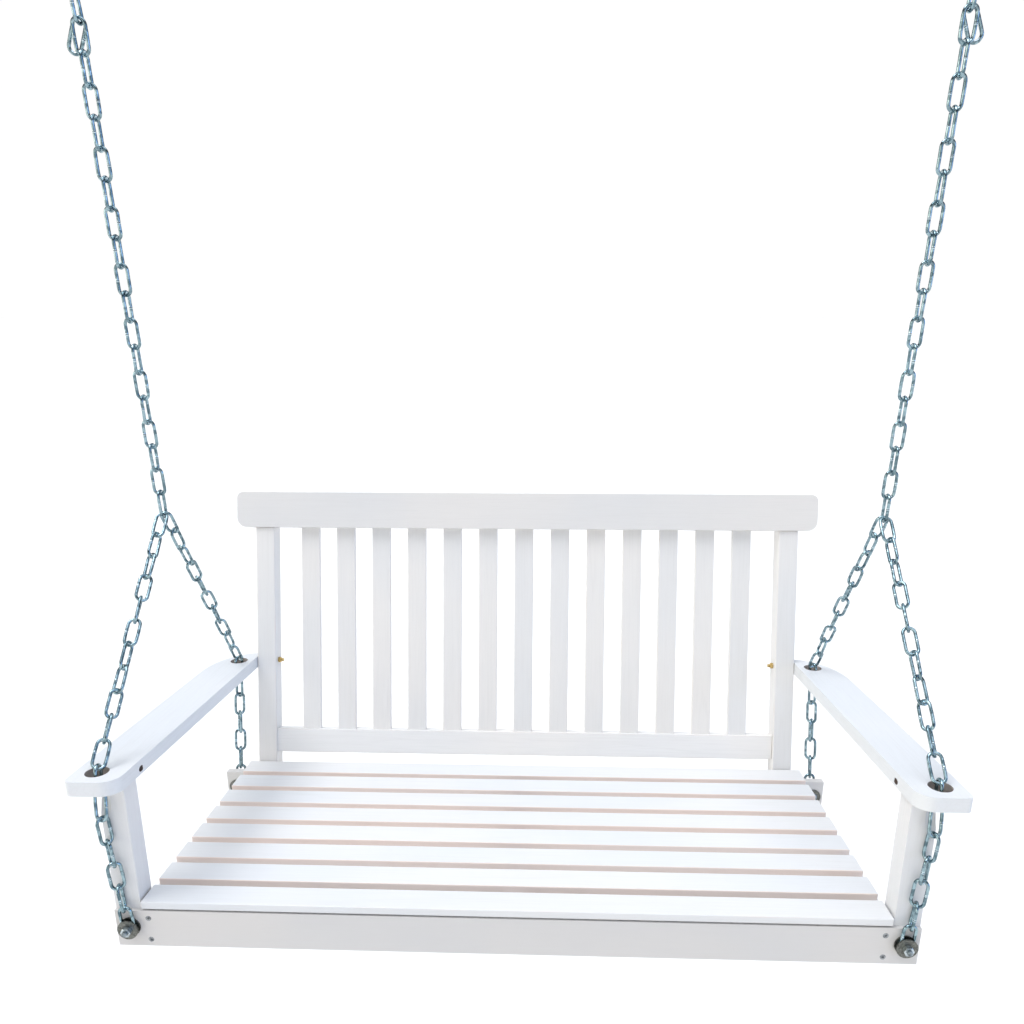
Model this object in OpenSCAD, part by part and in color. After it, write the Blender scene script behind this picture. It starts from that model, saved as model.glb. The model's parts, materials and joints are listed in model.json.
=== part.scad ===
// Porch swing: a slatted bench that hangs on two Y-shaped chains from two screw hooks.
// Millimetres, +Z up, +Y to the back, +X to the right of someone who faces the seat.
// The origin is midway between the two hooks, on the face of the beam that they screw into.
// The bench is drawn in its own square frame, with its origin at the middle of the front rail's
// top front edge, and in_seat() hangs it below the chains at its resting lean.

/* [Seat] */
// Length of the front and rear rails
rail_length = 1150; // [1000:10:1500]
// Height of the front and rear rails
rail_height = 59; // [55:1:75]
// Thickness of the front and rear rails
rail_thickness = 18; // [16:1:20]
// Number of seat slats
slat_count = 8; // [7:1:8]
// Width of a seat slat
slat_width = 43; // [38:1:46]
// Thickness of a seat slat
slat_thickness = 12; // [10:1:16]
// Gap between two seat slats
slat_gap = 14; // [10:1:16]
// Height of the slats' undersides above the top edge of the front rail
slat_lift = 2.6; // [1:0.2:4]
// Gap between the ends of the slats and the front posts
slat_end_gap = 2.5; // [1:0.5:4]
// Thickness of the two side rails
side_rail_thickness = 24; // [20:1:28]
// Thickness of the bearer under the middle of the slats
bearer_thickness = 28; // [20:1:40]
// Height of the bearer under the middle of the slats
bearer_height = 40; // [30:1:50]

/* [Front posts] */
// Width of a front post
post_width = 37; // [32:1:42]
// Depth of a front post
post_depth = 34; // [30:1:44]
// How far a post stands behind the face of the front rail
post_setback = 5.6; // [5.6:0.2:8]

/* [Armrests] */
// Height of the armrests' undersides above the top edge of the front rail
arm_height = 194.4; // [185:0.2:198]
// Thickness of an armrest
arm_thickness = 21.3; // [18:0.1:24]
// How far an armrest reaches in front of the front rail
arm_overhang_front = 20.4; // [10:0.2:30]
// How far an armrest's outer edge stands out beyond the end of the front rail
arm_overhang_side = 31; // [20:1:40]
// Radius of the chain holes in the armrests
chain_hole_radius = 15.8; // [15.8:0.1:18]

/* [Back] */
// Lean of the back from square to the seat, in degrees
back_rake = 12.04; // [8:0.02:16]
// Width of a back stile
stile_width = 36.4; // [30:0.2:44]
// Depth of a back stile
stile_depth = 33; // [28:1:40]
// Distance between the outer faces of the stiles
stile_span = 1041.2; // [900:0.2:1300]
// Height of the underside of the top rail, measured up the slope of the back
top_rail_bottom = 473.5; // [420:0.5:520]
// Height of the top rail itself
top_rail_height = 67.6; // [60:0.2:80]
// Length of the top rail
top_rail_length = 1110; // [1060:10:1400]
// Thickness of the top rail
top_rail_thickness = 28; // [24:1:32]
// Height of the underside of the bottom rail, measured up the slope of the back
bottom_rail_bottom = 31.4; // [28:0.2:50]
// Height of the bottom rail itself
bottom_rail_height = 46.6; // [40:0.2:60]
// Number of back slats
back_slat_count = 13; // [9:1:13]
// Width of a back slat
back_slat_width = 35.7; // [30:0.1:44]
// Thickness of a back slat
back_slat_thickness = 9; // [7:0.5:11]
// Distance between the middles of two back slats
back_slat_pitch = 69.4; // [60:0.2:70]

/* [Chains] */
// Diameter of the wire that the links are bent from
link_wire = 4.8; // [4.6:0.1:5]
// Length of the opening in a link
link_inner_length = 36.8; // [36:0.1:37.4]
// Width of the opening in a link
link_inner_width = 11.8; // [11.4:0.1:12.4]
// Clearance between two links that pull on each other
link_gap = 0.3; // [0.2:0.05:0.4]
// Number of links in each main chain, between the hook link and the junction link
main_links = 17; // [9:2:25]
// Number of links from the junction to the knee over the front of the armrest
front_upper_links = 11; // [11:1:12]
// Number of links that slope from the front knee, through the armrest, to the face of the post
front_slope_links = 2; // [2:1:2]
// Number of links down the face of the front post, above the link on the bolt
front_lower_links = 4; // [4:1:4]
// Number of links from the junction to the knee over the back of the armrest
rear_upper_links = 10; // [10:1:11]
// Number of links from the knee over the back of the armrest, above the link on the bolt
rear_lower_links = 6; // [6:1:6]
// Distance from the middle of the swing to each main chain
half_span = 565; // [490:1:740]
// Lean of the hanging bench: its front edge rides higher than its back, in degrees
seat_lean = 5.87; // [4:0.01:9]

/* [Fasteners] */
// Diameter of the bolts that hold the chains
chain_bolt_diameter = 8; // [8:1:8]
// Outer diameter of the large washers on both sides of a chain's last link
washer_diameter = 30; // [28:1:34]
// Thickness of the large washers
washer_thickness = 2.5; // [2.5:0.5:3]
// Diameter of the bolts that hold the armrests and the stiles
frame_bolt_diameter = 6; // [5:1:6]
// Diameter of the wire that a hook is bent from
hook_wire = 6; // [5:0.5:6]
// Radius of a hook's bowl, to the middle of the wire
hook_bowl_radius = 13; // [12:0.5:16]
// Diameter of a hook's shank
hook_shank_diameter = 8; // [7:0.5:9]
// Length of the part of the shank that goes into the beam
hook_shank_length = 50; // [40:1:70]

/* [Hidden] */
$fn = 48;
eps = 0.01;

paint = "whitesmoke";
zinc = "lightsteelblue";
brass = "goldenrod";

// Seat
rail_end = rail_length / 2;
post_inner = rail_end - post_width;
slat_length = 2 * (post_inner - slat_end_gap);
slat_pitch = slat_width + slat_gap;
slat_top = slat_lift + slat_thickness;
seat_depth = (slat_count - 1) * slat_pitch + slat_width;
rear_rail_back = seat_depth - 8;
rear_rail_front = rear_rail_back - rail_thickness;
side_rail_inner = post_inner - side_rail_thickness;
rail_screw_x = side_rail_inner + 12.5;
slat_screw_x = side_rail_inner + 5.5;
rear_rail_chamfer = 4;
rail_bottom = slat_lift - rail_height;
bearer_tenon = [12, 8, 24];

// Back
back_front = seat_depth + 0.5;
stile_outer = stile_span / 2;
stile_inner = stile_outer - stile_width;
stile_middle = stile_outer - stile_width / 2;
stile_run = stile_depth / cos(back_rake);
stile_slope = tan(back_rake);
stile_tenon = [24, 12, 28];
top_rail_front = -4;
top_rail_radii = [18, 18, 12, 12];
bottom_rail_front = 5;
bottom_rail_thickness = 22;
back_slat_front = 10;
back_slat_tongue = 8;
bottom_rail_top = bottom_rail_bottom + bottom_rail_height;
bottom_rail_tenon = [12, 10, 30];

// Armrests and posts
arm_top = arm_height + arm_thickness;
arm_middle = arm_height + arm_thickness / 2;
arm_outer = rail_end + arm_overhang_side;
arm_inner_front = post_inner - 4;
arm_back_start = seat_depth - 44;
arm_back_depth = 112;
arm_waist = 10;
arm_bolt_y = seat_depth + 61;
post_tenon = [14, 18, 12];
post_tenon_start = [post_inner + 3, post_setback + post_depth - post_tenon[1] - 4, arm_height];
chain_groove_radius = 12;
front_hole = [rail_end - 0.7, 10.3];
rear_hole = [rail_end - 27, seat_depth + 22.7];

// Fasteners
chain_bolt_radius = chain_bolt_diameter / 2;
washer_radius = washer_diameter / 2;
frame_bolt_radius = frame_bolt_diameter / 2;
bore_clearance = 0.1;
screw_radius = 2;
screw_head_radius = 4.2;
screw_head_height = 2.6;
screw_bore_radius = screw_radius + 0.05;
rail_screw_length = 45;
armrest_screw_length = 30;
armrest_screw_sink = 7;
rail_screw_heights = [-12.5, -48];
slat_screw_head_z = -20;
slat_screw_along = 0.6;
stile_bolt_heights = [-12, -42];
nut_height = 6.5;
nut_across_flats = 13;
frame_nut_height = 5;
frame_nut_across_flats = 10;

// Chain links
wire_radius = link_wire / 2;
link_bend = (link_inner_width + link_wire) / 2;
link_straight = (link_inner_length + link_wire) / 2 - link_bend;
link_reach = link_straight + link_bend;
link_pitch = link_inner_length - link_gap;
half_contact = (link_wire + link_gap) / 2;
nest_radius = link_bend - link_wire - link_gap;
nest_drop = sqrt(pow(nest_radius, 2) - pow(half_contact, 2));

// Hooks and main chains
hook_radius = hook_wire / 2;
hook_neck = 14;
hook_mouth = 70;
hook_saddle_z = -hook_neck - 2 * hook_bowl_radius;
hook_link_drop = 2 * link_straight + link_bend - (hook_radius + wire_radius + link_gap);
hook_link_tilt = asin(half_contact / hook_link_drop);
hook_link_bend_z = hook_saddle_z - hook_link_drop * cos(hook_link_tilt);
hook_link_wire_z = hook_link_bend_z - link_bend * nest_drop / nest_radius;
main_top_z = hook_link_bend_z - nest_drop - half_contact;
junction_link_z = main_top_z - (main_links + 0.5) * link_pitch;
junction_z = junction_link_z - link_straight;
spare_link_lean = 24;

// Chain ends and knees, in the bench's own frame, for the right-hand side. The last link of a
// leg lies flat on its rail, and the front leg clears the face of the post.
chain_plane = washer_thickness + link_gap + wire_radius;
washer_stack = 2 * washer_thickness + 2 * link_gap + link_wire;
bolt_link_length = 2 * link_reach - half_contact - chain_bolt_radius - wire_radius - link_gap;
// How far links run past a knee, so that the two links that turn there clear each other
front_knee_ease = 0.4;
rear_knee_ease = 0.9;
front_bolt = [rail_end - 21, -chain_plane, -26];
rear_bolt = [rail_end - 19, rear_rail_back + chain_plane, -28];
front_standoff = [front_hole[0] - 6, post_setback - 10.8, arm_height - 42];
front_pass = [front_hole[0] - 1.5, front_hole[1] - 1, arm_middle];
rear_pass = [rear_hole[0], rear_hole[1] - 3.5, arm_middle];
front_bolt_top = bolt_link_top(front_bolt, front_pass);
rear_bolt_top = bolt_link_top(rear_bolt, rear_pass);
front_foot = reach(front_bolt_top, front_standoff, front_lower_links * link_pitch);
front_knee = reach(front_foot, front_pass, front_slope_links * link_pitch - front_knee_ease);
front_bolt_end = reach(front_bolt_top, front_bolt, link_pitch);
rear_bolt_end = reach(rear_bolt_top, rear_bolt, link_pitch);
rear_knee = reach(rear_bolt_top, rear_pass, rear_lower_links * link_pitch - rear_knee_ease);

// The junction is where both legs, each a whole number of links long, meet.
front_nest = turn_x([0, -half_contact, -nest_drop], seat_lean);
rear_nest = turn_x([0, half_contact, -nest_drop], seat_lean);
front_reach = front_upper_links * link_pitch + half_contact - front_knee_ease;
rear_reach = rear_upper_links * link_pitch + half_contact - rear_knee_ease;
junction = circles_meet(
    [front_knee[1] - front_nest[1], front_knee[2] - front_nest[2]],
    sqrt(pow(front_reach, 2) - pow(front_knee[0] - half_span, 2)),
    [rear_knee[1] - rear_nest[1], rear_knee[2] - rear_nest[2]],
    sqrt(pow(rear_reach, 2) - pow(rear_knee[0] - half_span, 2)));
junction_point = [half_span, junction[0], junction[1]];

// Each leg twists evenly, so that its first and last links both face the front.
front_leg_turn = leg_turn(front_upper_links + front_slope_links + front_lower_links, 10);
rear_leg_turn = leg_turn(rear_upper_links + rear_lower_links, 9);

// ---- Functions ----

function unit(v) = v / norm(v);

function turn_x(p, a) = [
    p[0],
    p[1] * cos(a) - p[2] * sin(a),
    p[1] * sin(a) + p[2] * cos(a)];

// The upper of the two points that lie r1 from p1 and r2 from p2.
function circles_meet(p1, r1, p2, r2) =
    let (gap = norm(p2 - p1), along = unit(p2 - p1))
    let (a = (pow(r1, 2) - pow(r2, 2) + pow(gap, 2)) / (2 * gap))
    let (h = sqrt(pow(r1, 2) - pow(a, 2)))
    p1 + a * along + h * [-along[1], along[0]];

// The point at a distance from start, on the way to goal.
function reach(start, goal, distance) = start + distance * unit(goal - start);

// The upper end of the link that lies flat on a rail, leaning only sideways to the armrest.
function bolt_link_top(bolt, pass) =
    reach(bolt, [pass[0], bolt[1], pass[2]], bolt_link_length);

// Turn from one link to the next, where the whole leg makes this many half turns.
function leg_turn(steps, half_turns) = 180 * half_turns / steps;

// Points of a round corner of radius r about c, from angle a0 to angle a1.
function corner(c, r, a0, a1) = [for (i = [0:8]) c + r * [cos(a0 + (a1 - a0) * i / 8),
                                                          sin(a0 + (a1 - a0) * i / 8)]];

function slat_front(i) = (i - 1) * slat_pitch;

// ---- Shared shapes ----

module on_side(side) {
    mirror([side < 0 ? 1 : 0, 0, 0]) children();
}

module both_sides() {
    for (side = [-1, 1]) on_side(side) children();
}

// Carries the bench from its own frame to its place below the chains.
module in_seat() {
    translate([0, 0, junction_z])
        rotate([-seat_lean, 0, 0])
            translate([0, -junction_point[1], -junction_point[2]])
                children();
}

// Frame of the back: y into the stile from its front face, z up the slope.
module in_back() {
    translate([0, back_front, 0])
        rotate([-back_rake, 0, 0])
            children();
}

// Lays +Z along +Y, for bolts and screws that run from front to back.
module along_y(p) {
    translate(p) rotate([-90, 0, 0]) children();
}

// A chain link with its length along Z and its opening facing Y.
module chain_link() {
    for (side = [-1, 1]) {
        translate([side * link_bend, 0, -link_straight])
            cylinder(h = 2 * link_straight, r = wire_radius);
        translate([0, 0, side * link_straight])
            rotate([side * 90, 0, 0])
                rotate_extrude(angle = 180)
                    translate([link_bend, 0]) circle(r = wire_radius);
    }
}

// Links from the contact point start towards finish. roll is the first link's turn about the
// chain, and turn is the turn from each link to the next.
module chain_run(start, finish, links, roll, turn) {
    way = unit(finish - start);
    tip_x = atan2(way[1], -way[2]);
    tip_y = -asin(way[0]);
    for (i = [0:links - 1])
        translate(start + (i + 0.5) * link_pitch * way)
            rotate([tip_x, 0, 0])
                rotate([0, tip_y, 0])
                    rotate([0, 0, roll + i * turn])
                        chain_link();
}

// A leg of the Y: from its nest in the junction link down through points, where links[i] is
// the number of links that end at points[i].
module leg_chain(nest, points, links, turn) {
    apex = junction_point + nest;
    last = len(points) - 1;
    done = [for (i = 0, sum = 0; i <= last; sum = sum + links[i], i = i + 1) sum];
    for (i = [0:last]) {
        way = unit(points[i] - (i == 0 ? apex : points[i - 1]));
        from = i == 0 ? apex + half_contact * way : points[i] - links[i] * link_pitch * way;
        chain_run(from, from + way, links[i], done[i] * turn, turn);
    }
}

// Countersunk wood screw, its head's face at z = 0 and its point up the Z axis.
module wood_screw(length) {
    difference() {
        union() {
            cylinder(h = screw_head_height, r1 = screw_head_radius, r2 = screw_radius);
            cylinder(h = length - 4, r = screw_radius);
            translate([0, 0, length - 4]) cylinder(h = 4, r1 = screw_radius, r2 = 0.4);
        }
        for (a = [0, 90])
            rotate([0, 0, a]) translate([-2.2, -0.5, -eps]) cube([4.4, 1, 1.8]);
    }
}

// Hole for a wood screw whose head finishes flush with the face at z = 0.
module screw_hole(length) {
    translate([0, 0, -1]) cylinder(h = 1, r = screw_head_radius + 0.1);
    cylinder(h = screw_head_height, r1 = screw_head_radius + 0.1, r2 = screw_bore_radius);
    cylinder(h = length + 0.5, r = screw_bore_radius);
}

// Round-headed bolt, the underside of its head at z = 0 and its shank up the Z axis.
module coach_bolt(radius, length) {
    rotate_extrude()
        polygon([[0, -radius * 1.1], [radius * 0.8, -radius * 1.02], [radius * 1.5, -radius * 0.8],
                 [radius * 1.95, -radius * 0.4], [radius * 2.1, 0], [0, 0]]);
    cylinder(h = length - 0.8, r = radius);
    translate([0, 0, length - 0.8]) cylinder(h = 0.8, r1 = radius, r2 = radius - 0.8);
}

// Hexagon nut with its lower face at z = 0.
module hex_nut(across_flats, height, bore) {
    difference() {
        intersection() {
            cylinder(h = height, r = across_flats / sqrt(3), $fn = 6);
            rotate_extrude()
                polygon([[0, 0], [across_flats * 0.5, 0], [across_flats * 0.58, height * 0.12],
                         [across_flats * 0.58, height * 0.85], [across_flats * 0.48, height],
                         [0, height]]);
        }
        translate([0, 0, -1]) cylinder(h = height + 2, r = bore);
    }
}

module washer(p) {
    along_y(p)
        difference() {
            cylinder(h = washer_thickness, r = washer_radius);
            translate([0, 0, -1])
                cylinder(h = washer_thickness + 2, r = chain_bolt_radius + 0.4);
        }
}

// ---- Hooks and chains ----

module hook(side) {
    color(zinc) translate([side * half_span, 0, 0]) {
        cylinder(h = hook_shank_length, r = hook_shank_diameter / 2);
        translate([0, 0, hook_shank_length])
            cylinder(h = 8, r1 = hook_shank_diameter / 2, r2 = 0.5);
        translate([0, 0, -3]) cylinder(h = 3, r = hook_shank_diameter);
        translate([0, 0, -hook_neck]) cylinder(h = hook_neck, r = hook_radius);
        translate([0, 0, -hook_neck - hook_bowl_radius])
            rotate([90, 0, 0])
                rotate([0, 0, 90])
                    rotate_extrude(angle = 360 - hook_mouth)
                        translate([hook_bowl_radius, 0]) circle(r = hook_radius);
    }
}

// Frame of the link that hangs in a hook: origin at the hook's wire, tilted so that the main
// chain below it hangs plumb under the hook.
module in_hook_link(side) {
    translate([side * half_span, 0, hook_saddle_z])
        rotate([hook_link_tilt, 0, 0])
            children();
}

module hook_link(side) {
    color(zinc)
        in_hook_link(side)
            translate([0, 0, link_straight - hook_link_drop])
                rotate([0, 0, 90]) chain_link();
}

// The chain's free last link, which hangs beside the main chain in the hook link.
module spare_link(side) {
    color(zinc)
        translate([side * half_span, 2 * half_contact, hook_link_wire_z])
            rotate([0, -side * spare_link_lean, 0])
                translate([0, 0, main_top_z + half_contact - hook_link_wire_z - link_reach])
                    chain_link();
}

module main_chain(side) {
    top = [side * half_span, 0, main_top_z];
    color(zinc) chain_run(top, top - [0, 0, 1], main_links, 0, 90);
}

module junction_link(side) {
    color(zinc)
        translate([side * half_span, 0, junction_link_z])
            rotate([0, 0, 90]) chain_link();
}

module front_leg_chain(side) {
    color(zinc) in_seat() on_side(side)
        leg_chain(front_nest, [front_knee, front_foot, front_bolt_top, front_bolt_end],
                  [front_upper_links, front_slope_links, front_lower_links, 1], front_leg_turn);
}

module rear_leg_chain(side) {
    color(zinc) in_seat() on_side(side)
        leg_chain(rear_nest, [rear_knee, rear_bolt_top, rear_bolt_end],
                  [rear_upper_links, rear_lower_links, 1], rear_leg_turn);
}

// ---- Seat ----

module front_rail() {
    color(paint) in_seat()
        difference() {
            translate([-rail_end, 0, -rail_height])
                cube([rail_length, rail_thickness, rail_height]);
            translate([-bearer_tenon[0] / 2, rail_thickness - bearer_tenon[1],
                       slat_lift - bearer_height / 2 - bearer_tenon[2] / 2])
                cube([bearer_tenon[0], bearer_tenon[1] + 1, bearer_tenon[2]]);
            both_sides() {
                along_y([front_bolt[0], -1, front_bolt[2]])
                    cylinder(h = rail_thickness + 2, r = chain_bolt_radius + bore_clearance);
                for (z = rail_screw_heights)
                    along_y([rail_screw_x, 0, z]) screw_hole(rail_screw_length);
            }
        }
}

module rear_rail() {
    color(paint) in_seat()
        difference() {
            translate([-rail_end, 0, 0])
                rotate([90, 0, 90])
                    linear_extrude(height = rail_length)
                        polygon([
                            [rear_rail_front, rail_bottom],
                            [rear_rail_back, rail_bottom],
                            [rear_rail_back, slat_lift - rear_rail_chamfer],
                            [rear_rail_back - rear_rail_chamfer, slat_lift],
                            [rear_rail_front, slat_lift]]);
            translate([-bearer_tenon[0] / 2, rear_rail_front - 1,
                       slat_lift - bearer_height / 2 - bearer_tenon[2] / 2])
                cube([bearer_tenon[0], bearer_tenon[1] + 1, bearer_tenon[2]]);
            slat_screw_bores(slat_count, [-slat_screw_x, 0, slat_screw_x]);
            both_sides() {
                along_y([rear_bolt[0], rear_rail_front - 1, rear_bolt[2]])
                    cylinder(h = rail_thickness + 2, r = chain_bolt_radius + bore_clearance);
                for (z = stile_bolt_heights)
                    along_y([stile_middle, rear_rail_front - 1, z])
                        cylinder(h = rail_thickness + 2, r = frame_bolt_radius + bore_clearance);
                for (z = rail_screw_heights)
                    translate([rail_screw_x, rear_rail_back, z])
                        rotate([90, 0, 0]) screw_hole(rail_screw_length);
            }
        }
}

// Counterbored holes, drilled from below, for the screws that hold slat i.
module slat_screw_bores(i, places) {
    y = slat_front(i) + slat_screw_along * slat_width;
    for (x = places) {
        translate([x, y, rail_bottom - 1])
            cylinder(h = slat_screw_head_z - rail_bottom + 1, r = screw_head_radius + 0.2);
        translate([x, y, slat_screw_head_z])
            cylinder(h = screw_head_height, r1 = screw_head_radius + 0.1, r2 = screw_bore_radius);
        translate([x, y, slat_screw_head_z - 1])
            cylinder(h = slat_lift - slat_screw_head_z + 2, r = screw_bore_radius);
    }
}

module side_rail(side) {
    color(paint) in_seat() on_side(side)
        difference() {
            translate([side_rail_inner, rail_thickness, rail_bottom])
                cube([side_rail_thickness, rear_rail_front - rail_thickness, rail_height]);
            for (i = [1:slat_count - 1]) slat_screw_bores(i, [slat_screw_x]);
            for (z = rail_screw_heights) {
                along_y([rail_screw_x, 0, z]) screw_hole(rail_screw_length);
                translate([rail_screw_x, rear_rail_back, z])
                    rotate([90, 0, 0]) screw_hole(rail_screw_length);
            }
        }
}

module centre_bearer() {
    bearer_bottom = slat_lift - bearer_height;
    color(paint) in_seat()
        difference() {
            union() {
                translate([-bearer_thickness / 2, rail_thickness, bearer_bottom])
                    cube([bearer_thickness, rear_rail_front - rail_thickness, bearer_height]);
                translate([-bearer_tenon[0] / 2, rail_thickness - bearer_tenon[1],
                           slat_lift - bearer_height / 2 - bearer_tenon[2] / 2])
                    cube([bearer_tenon[0],
                          rear_rail_front - rail_thickness + 2 * bearer_tenon[1],
                          bearer_tenon[2]]);
            }
            for (i = [1:slat_count]) slat_screw_bores(i, [0]);
        }
}

module seat_slat(i) {
    y = slat_front(i) + slat_screw_along * slat_width;
    color(paint) in_seat()
        difference() {
            translate([-slat_length / 2, slat_front(i), slat_lift])
                cube([slat_length, slat_width, slat_thickness]);
            for (x = [-slat_screw_x, 0, slat_screw_x])
                translate([x, y, slat_lift - 1]) cylinder(h = 9.5, r = screw_bore_radius);
        }
}

// ---- Posts and armrests ----

module front_post(side) {
    color(paint) in_seat() on_side(side)
        difference() {
            union() {
                translate([post_inner, post_setback, -rail_height])
                    cube([post_width, post_depth, arm_height + rail_height]);
                translate(post_tenon_start) cube(post_tenon);
            }
            translate([post_inner - 1, post_setback - 1, -rail_height - 1])
                cube([post_width + 2, rail_thickness - post_setback + 1, rail_height + 1]);
            along_y([front_bolt[0], 0, front_bolt[2]])
                cylinder(h = post_depth + 20, r = chain_bolt_radius + bore_clearance);
            armrest_screw_place() cylinder(h = 40, r = screw_bore_radius);
            chain_groove();
        }
}

// The slanting groove that lets the chain into the post's outer top corner.
module chain_groove() {
    way = unit(front_knee - front_foot);
    translate(front_foot - 20 * way)
        rotate([atan2(-way[1], way[2]), 0, 0])
            rotate([0, asin(way[0]), 0])
                cylinder(h = 100, r = chain_groove_radius);
}

// Outline of the right-hand armrest, seen from above.
module armrest_outline() {
    front = -arm_overhang_front;
    waist_y = arm_back_start;
    outer_tip = 9;
    inner_tip = 25;
    back_width = arm_outer - arm_waist - stile_outer;
    polygon(concat(
        corner([arm_inner_front + inner_tip, front + inner_tip], inner_tip, 180, 270),
        corner([arm_outer - outer_tip, front + outer_tip], outer_tip, -90, 0),
        [[arm_outer - 2, 110], [arm_outer - 6, 260]],
        [for (a = [0:6:90]) [stile_outer + back_width * cos(a), waist_y + arm_back_depth * sin(a)]]));
}

// Places its children at the screw that goes through the armrest's inner edge into the post.
module armrest_screw_place() {
    translate([arm_inner_front - 0.5, post_setback + post_depth + 8, arm_height + 8])
        rotate([0, 0, -42])
            rotate([0, 90, 0])
                children();
}

module armrest(side) {
    color(paint) in_seat() on_side(side)
        difference() {
            translate([0, 0, arm_height])
                linear_extrude(height = arm_thickness) armrest_outline();
            for (hole = [front_hole, rear_hole])
                translate([hole[0], hole[1], arm_height - 1])
                    cylinder(h = arm_thickness + 2, r = chain_hole_radius);
            translate(post_tenon_start - [0.1, 0.1, 1])
                cube(post_tenon + [0.2, 0.2, 1.2]);
            translate([stile_outer - 1, arm_bolt_y, arm_middle])
                rotate([0, 90, 0]) cylinder(h = 27, r = frame_bolt_radius + bore_clearance);
            armrest_screw_place() {
                translate([0, 0, -4]) cylinder(h = armrest_screw_sink + 4, r = screw_head_radius + 0.1);
                translate([0, 0, armrest_screw_sink]) screw_hole(armrest_screw_length);
            }
        }
}

// ---- Back ----

module back_stile(side) {
    stile_top = top_rail_bottom * cos(back_rake);
    front_top = back_front + stile_slope * stile_top;
    color(paint) in_seat() on_side(side)
        difference() {
            union() {
                translate([stile_inner, 0, 0])
                    rotate([90, 0, 90])
                        linear_extrude(height = stile_width)
                            polygon([
                                [rear_rail_back, rail_bottom],
                                [rear_rail_back, slat_lift],
                                [back_front + stile_slope * slat_lift, slat_lift],
                                [front_top, stile_top],
                                [front_top + stile_depth * cos(back_rake),
                                 stile_top - stile_depth * sin(back_rake)],
                                [back_front + stile_run + stile_slope * rail_bottom, rail_bottom]]);
                in_back()
                    translate([stile_middle - stile_tenon[0] / 2,
                               back_slat_front - 1, top_rail_bottom - 1])
                        cube([stile_tenon[0], stile_tenon[1], stile_tenon[2] + 1]);
            }
            for (z = stile_bolt_heights)
                along_y([stile_middle, rear_rail_back - 1, z])
                    cylinder(h = 60, r = frame_bolt_radius + bore_clearance);
            translate([stile_inner - 1, arm_bolt_y, arm_middle])
                rotate([0, 90, 0])
                    cylinder(h = stile_width + 2, r = frame_bolt_radius + bore_clearance);
            in_back() {
                translate([stile_inner - 1, bottom_rail_front + 6,
                           bottom_rail_bottom + (bottom_rail_height - bottom_rail_tenon[2]) / 2])
                    cube([bottom_rail_tenon[0] + 1.2, bottom_rail_tenon[1], bottom_rail_tenon[2]]);
                top_rail_screw_places() cylinder(h = 40, r = screw_bore_radius);
            }
        }
}

// Places its children at the screws that pin the right-hand stile's tenon, heads at the back.
module top_rail_screw_places() {
    for (dz = [9, 21])
        translate([stile_middle + (dz - 15) * 0.7, top_rail_front + top_rail_thickness,
                   top_rail_bottom + dz])
            rotate([90, 0, 0]) children();
}

module back_top_rail() {
    end = top_rail_length / 2;
    low = top_rail_bottom;
    high = top_rail_bottom + top_rail_height;
    r = top_rail_radii;
    color(paint) in_seat() in_back()
        difference() {
            translate([0, top_rail_front + top_rail_thickness, 0])
                rotate([90, 0, 0])
                    linear_extrude(height = top_rail_thickness)
                        polygon(concat(
                            corner([-end + r[0], low + r[0]], r[0], 180, 270),
                            corner([end - r[1], low + r[1]], r[1], -90, 0),
                            corner([end - r[2], high - r[2]], r[2], 0, 90),
                            corner([-end + r[3], high - r[3]], r[3], 90, 180)));
            back_slat_grooves(low - 1, low + back_slat_tongue + 0.2);
            both_sides() {
                translate([stile_middle - stile_tenon[0] / 2 - 0.1, back_slat_front - 1.1, low - 1])
                    cube([stile_tenon[0] + 0.2, stile_tenon[1] + 0.2, stile_tenon[2] + 1.2]);
                top_rail_screw_places() screw_hole(24);
            }
        }
}

// Mortises for the ends of the back slats, from height low to height high.
module back_slat_grooves(low, high) {
    for (i = [1:back_slat_count])
        translate([back_slat_x(i) - back_slat_width / 2, back_slat_front, low])
            cube([back_slat_width, back_slat_thickness, high - low]);
}

function back_slat_x(i) = (i - (back_slat_count + 1) / 2) * back_slat_pitch;

module back_bottom_rail() {
    color(paint) in_seat() in_back()
        difference() {
            union() {
                translate([-stile_inner, bottom_rail_front, bottom_rail_bottom])
                    cube([2 * stile_inner, bottom_rail_thickness, bottom_rail_height]);
                translate([-stile_inner - bottom_rail_tenon[0], bottom_rail_front + 6,
                           bottom_rail_bottom + (bottom_rail_height - bottom_rail_tenon[2]) / 2])
                    cube([2 * (stile_inner + bottom_rail_tenon[0]),
                          bottom_rail_tenon[1], bottom_rail_tenon[2]]);
            }
            back_slat_grooves(bottom_rail_top - back_slat_tongue - 0.2, bottom_rail_top + 1);
        }
}

module back_slat(i) {
    low = bottom_rail_top - back_slat_tongue;
    high = top_rail_bottom + back_slat_tongue;
    color(paint) in_seat() in_back()
        translate([back_slat_x(i) - back_slat_width / 2, back_slat_front, low])
            cube([back_slat_width, back_slat_thickness, high - low]);
}

// ---- Fasteners ----

module chain_bolts() {
    front_length = post_setback + post_depth + washer_stack + nut_height + 4;
    rear_length = washer_thickness + rail_thickness + washer_stack + nut_height + 4;
    color(zinc) in_seat() both_sides() {
        translate([front_bolt[0], post_setback + post_depth, front_bolt[2]])
            rotate([90, 0, 0]) coach_bolt(chain_bolt_radius, front_length);
        along_y([rear_bolt[0], rear_rail_front - washer_thickness, rear_bolt[2]])
            coach_bolt(chain_bolt_radius, rear_length);
    }
}

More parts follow.
